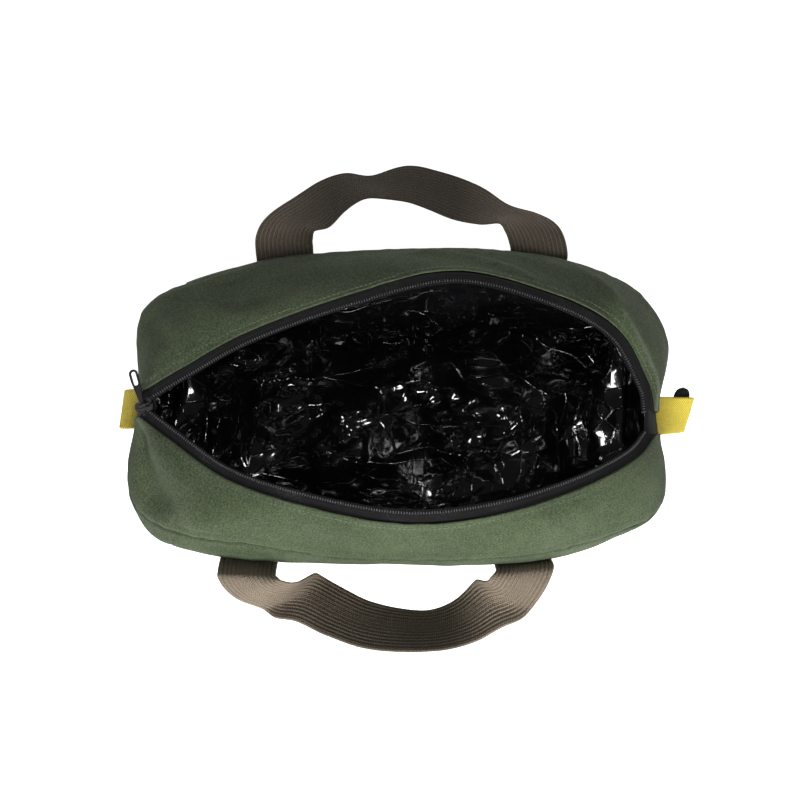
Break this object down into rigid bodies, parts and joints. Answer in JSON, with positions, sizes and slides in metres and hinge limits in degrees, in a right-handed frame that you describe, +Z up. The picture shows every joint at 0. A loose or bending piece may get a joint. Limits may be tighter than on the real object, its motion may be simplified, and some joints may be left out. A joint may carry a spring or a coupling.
{
  "type": "tool bag",
  "caption": "Soft canvas holdall for hand tools, its zip mouth standing open, with ribbed webbing carry handles, grip tabs at both ends and a film lining.",
  "frame": {"origin": "middle of the base, on the face that the bag rests on", "axes": "+X along the bag away from the zip slider, +Y to the back, +Z up"},
  "size_m": [0.3904, 0.3359, 0.2014],
  "materials": {
    "canvas": "heavy plain-weave green canvas, matt",
    "lining_film": "crinkled black film, glossy",
    "zip_tape": "black woven zip tape",
    "zip_coil": "dark grey nylon coil",
    "slider_metal": "black lacquered metal",
    "tab_webbing": "yellow herringbone webbing",
    "handle_webbing": "taupe brown ribbed webbing"
  },
  "bodies": {
    "bag": {"bottom_panel": "canvas", "front_panel": "canvas", "back_panel": "canvas", "left_end_panel": "canvas", "right_end_panel": "canvas", "top_front_panel": "canvas", "top_back_panel": "canvas", "lining": "lining_film", "zip_tape_front": "zip_tape", "zip_tape_back": "zip_tape", "zip_tail": "zip_tape", "zip_coil_front": "zip_coil", "zip_coil_back": "zip_coil", "zip_slider": "slider_metal", "end_tab_left": "tab_webbing", "end_tab_right": "tab_webbing", "handle_front": "handle_webbing", "handle_back": "handle_webbing"},
    "pull": {"zip_pull": "slider_metal"}
  },
  "joints": [
    {"name": "pull_hinge", "type": "hinge", "parent": "bag", "child": "pull", "pos_m": [-0.16788, -0.00102, 0.15764], "axis": [0.9366, 0.3043, 0.1736], "range_deg": [0, 150]}
  ]
}
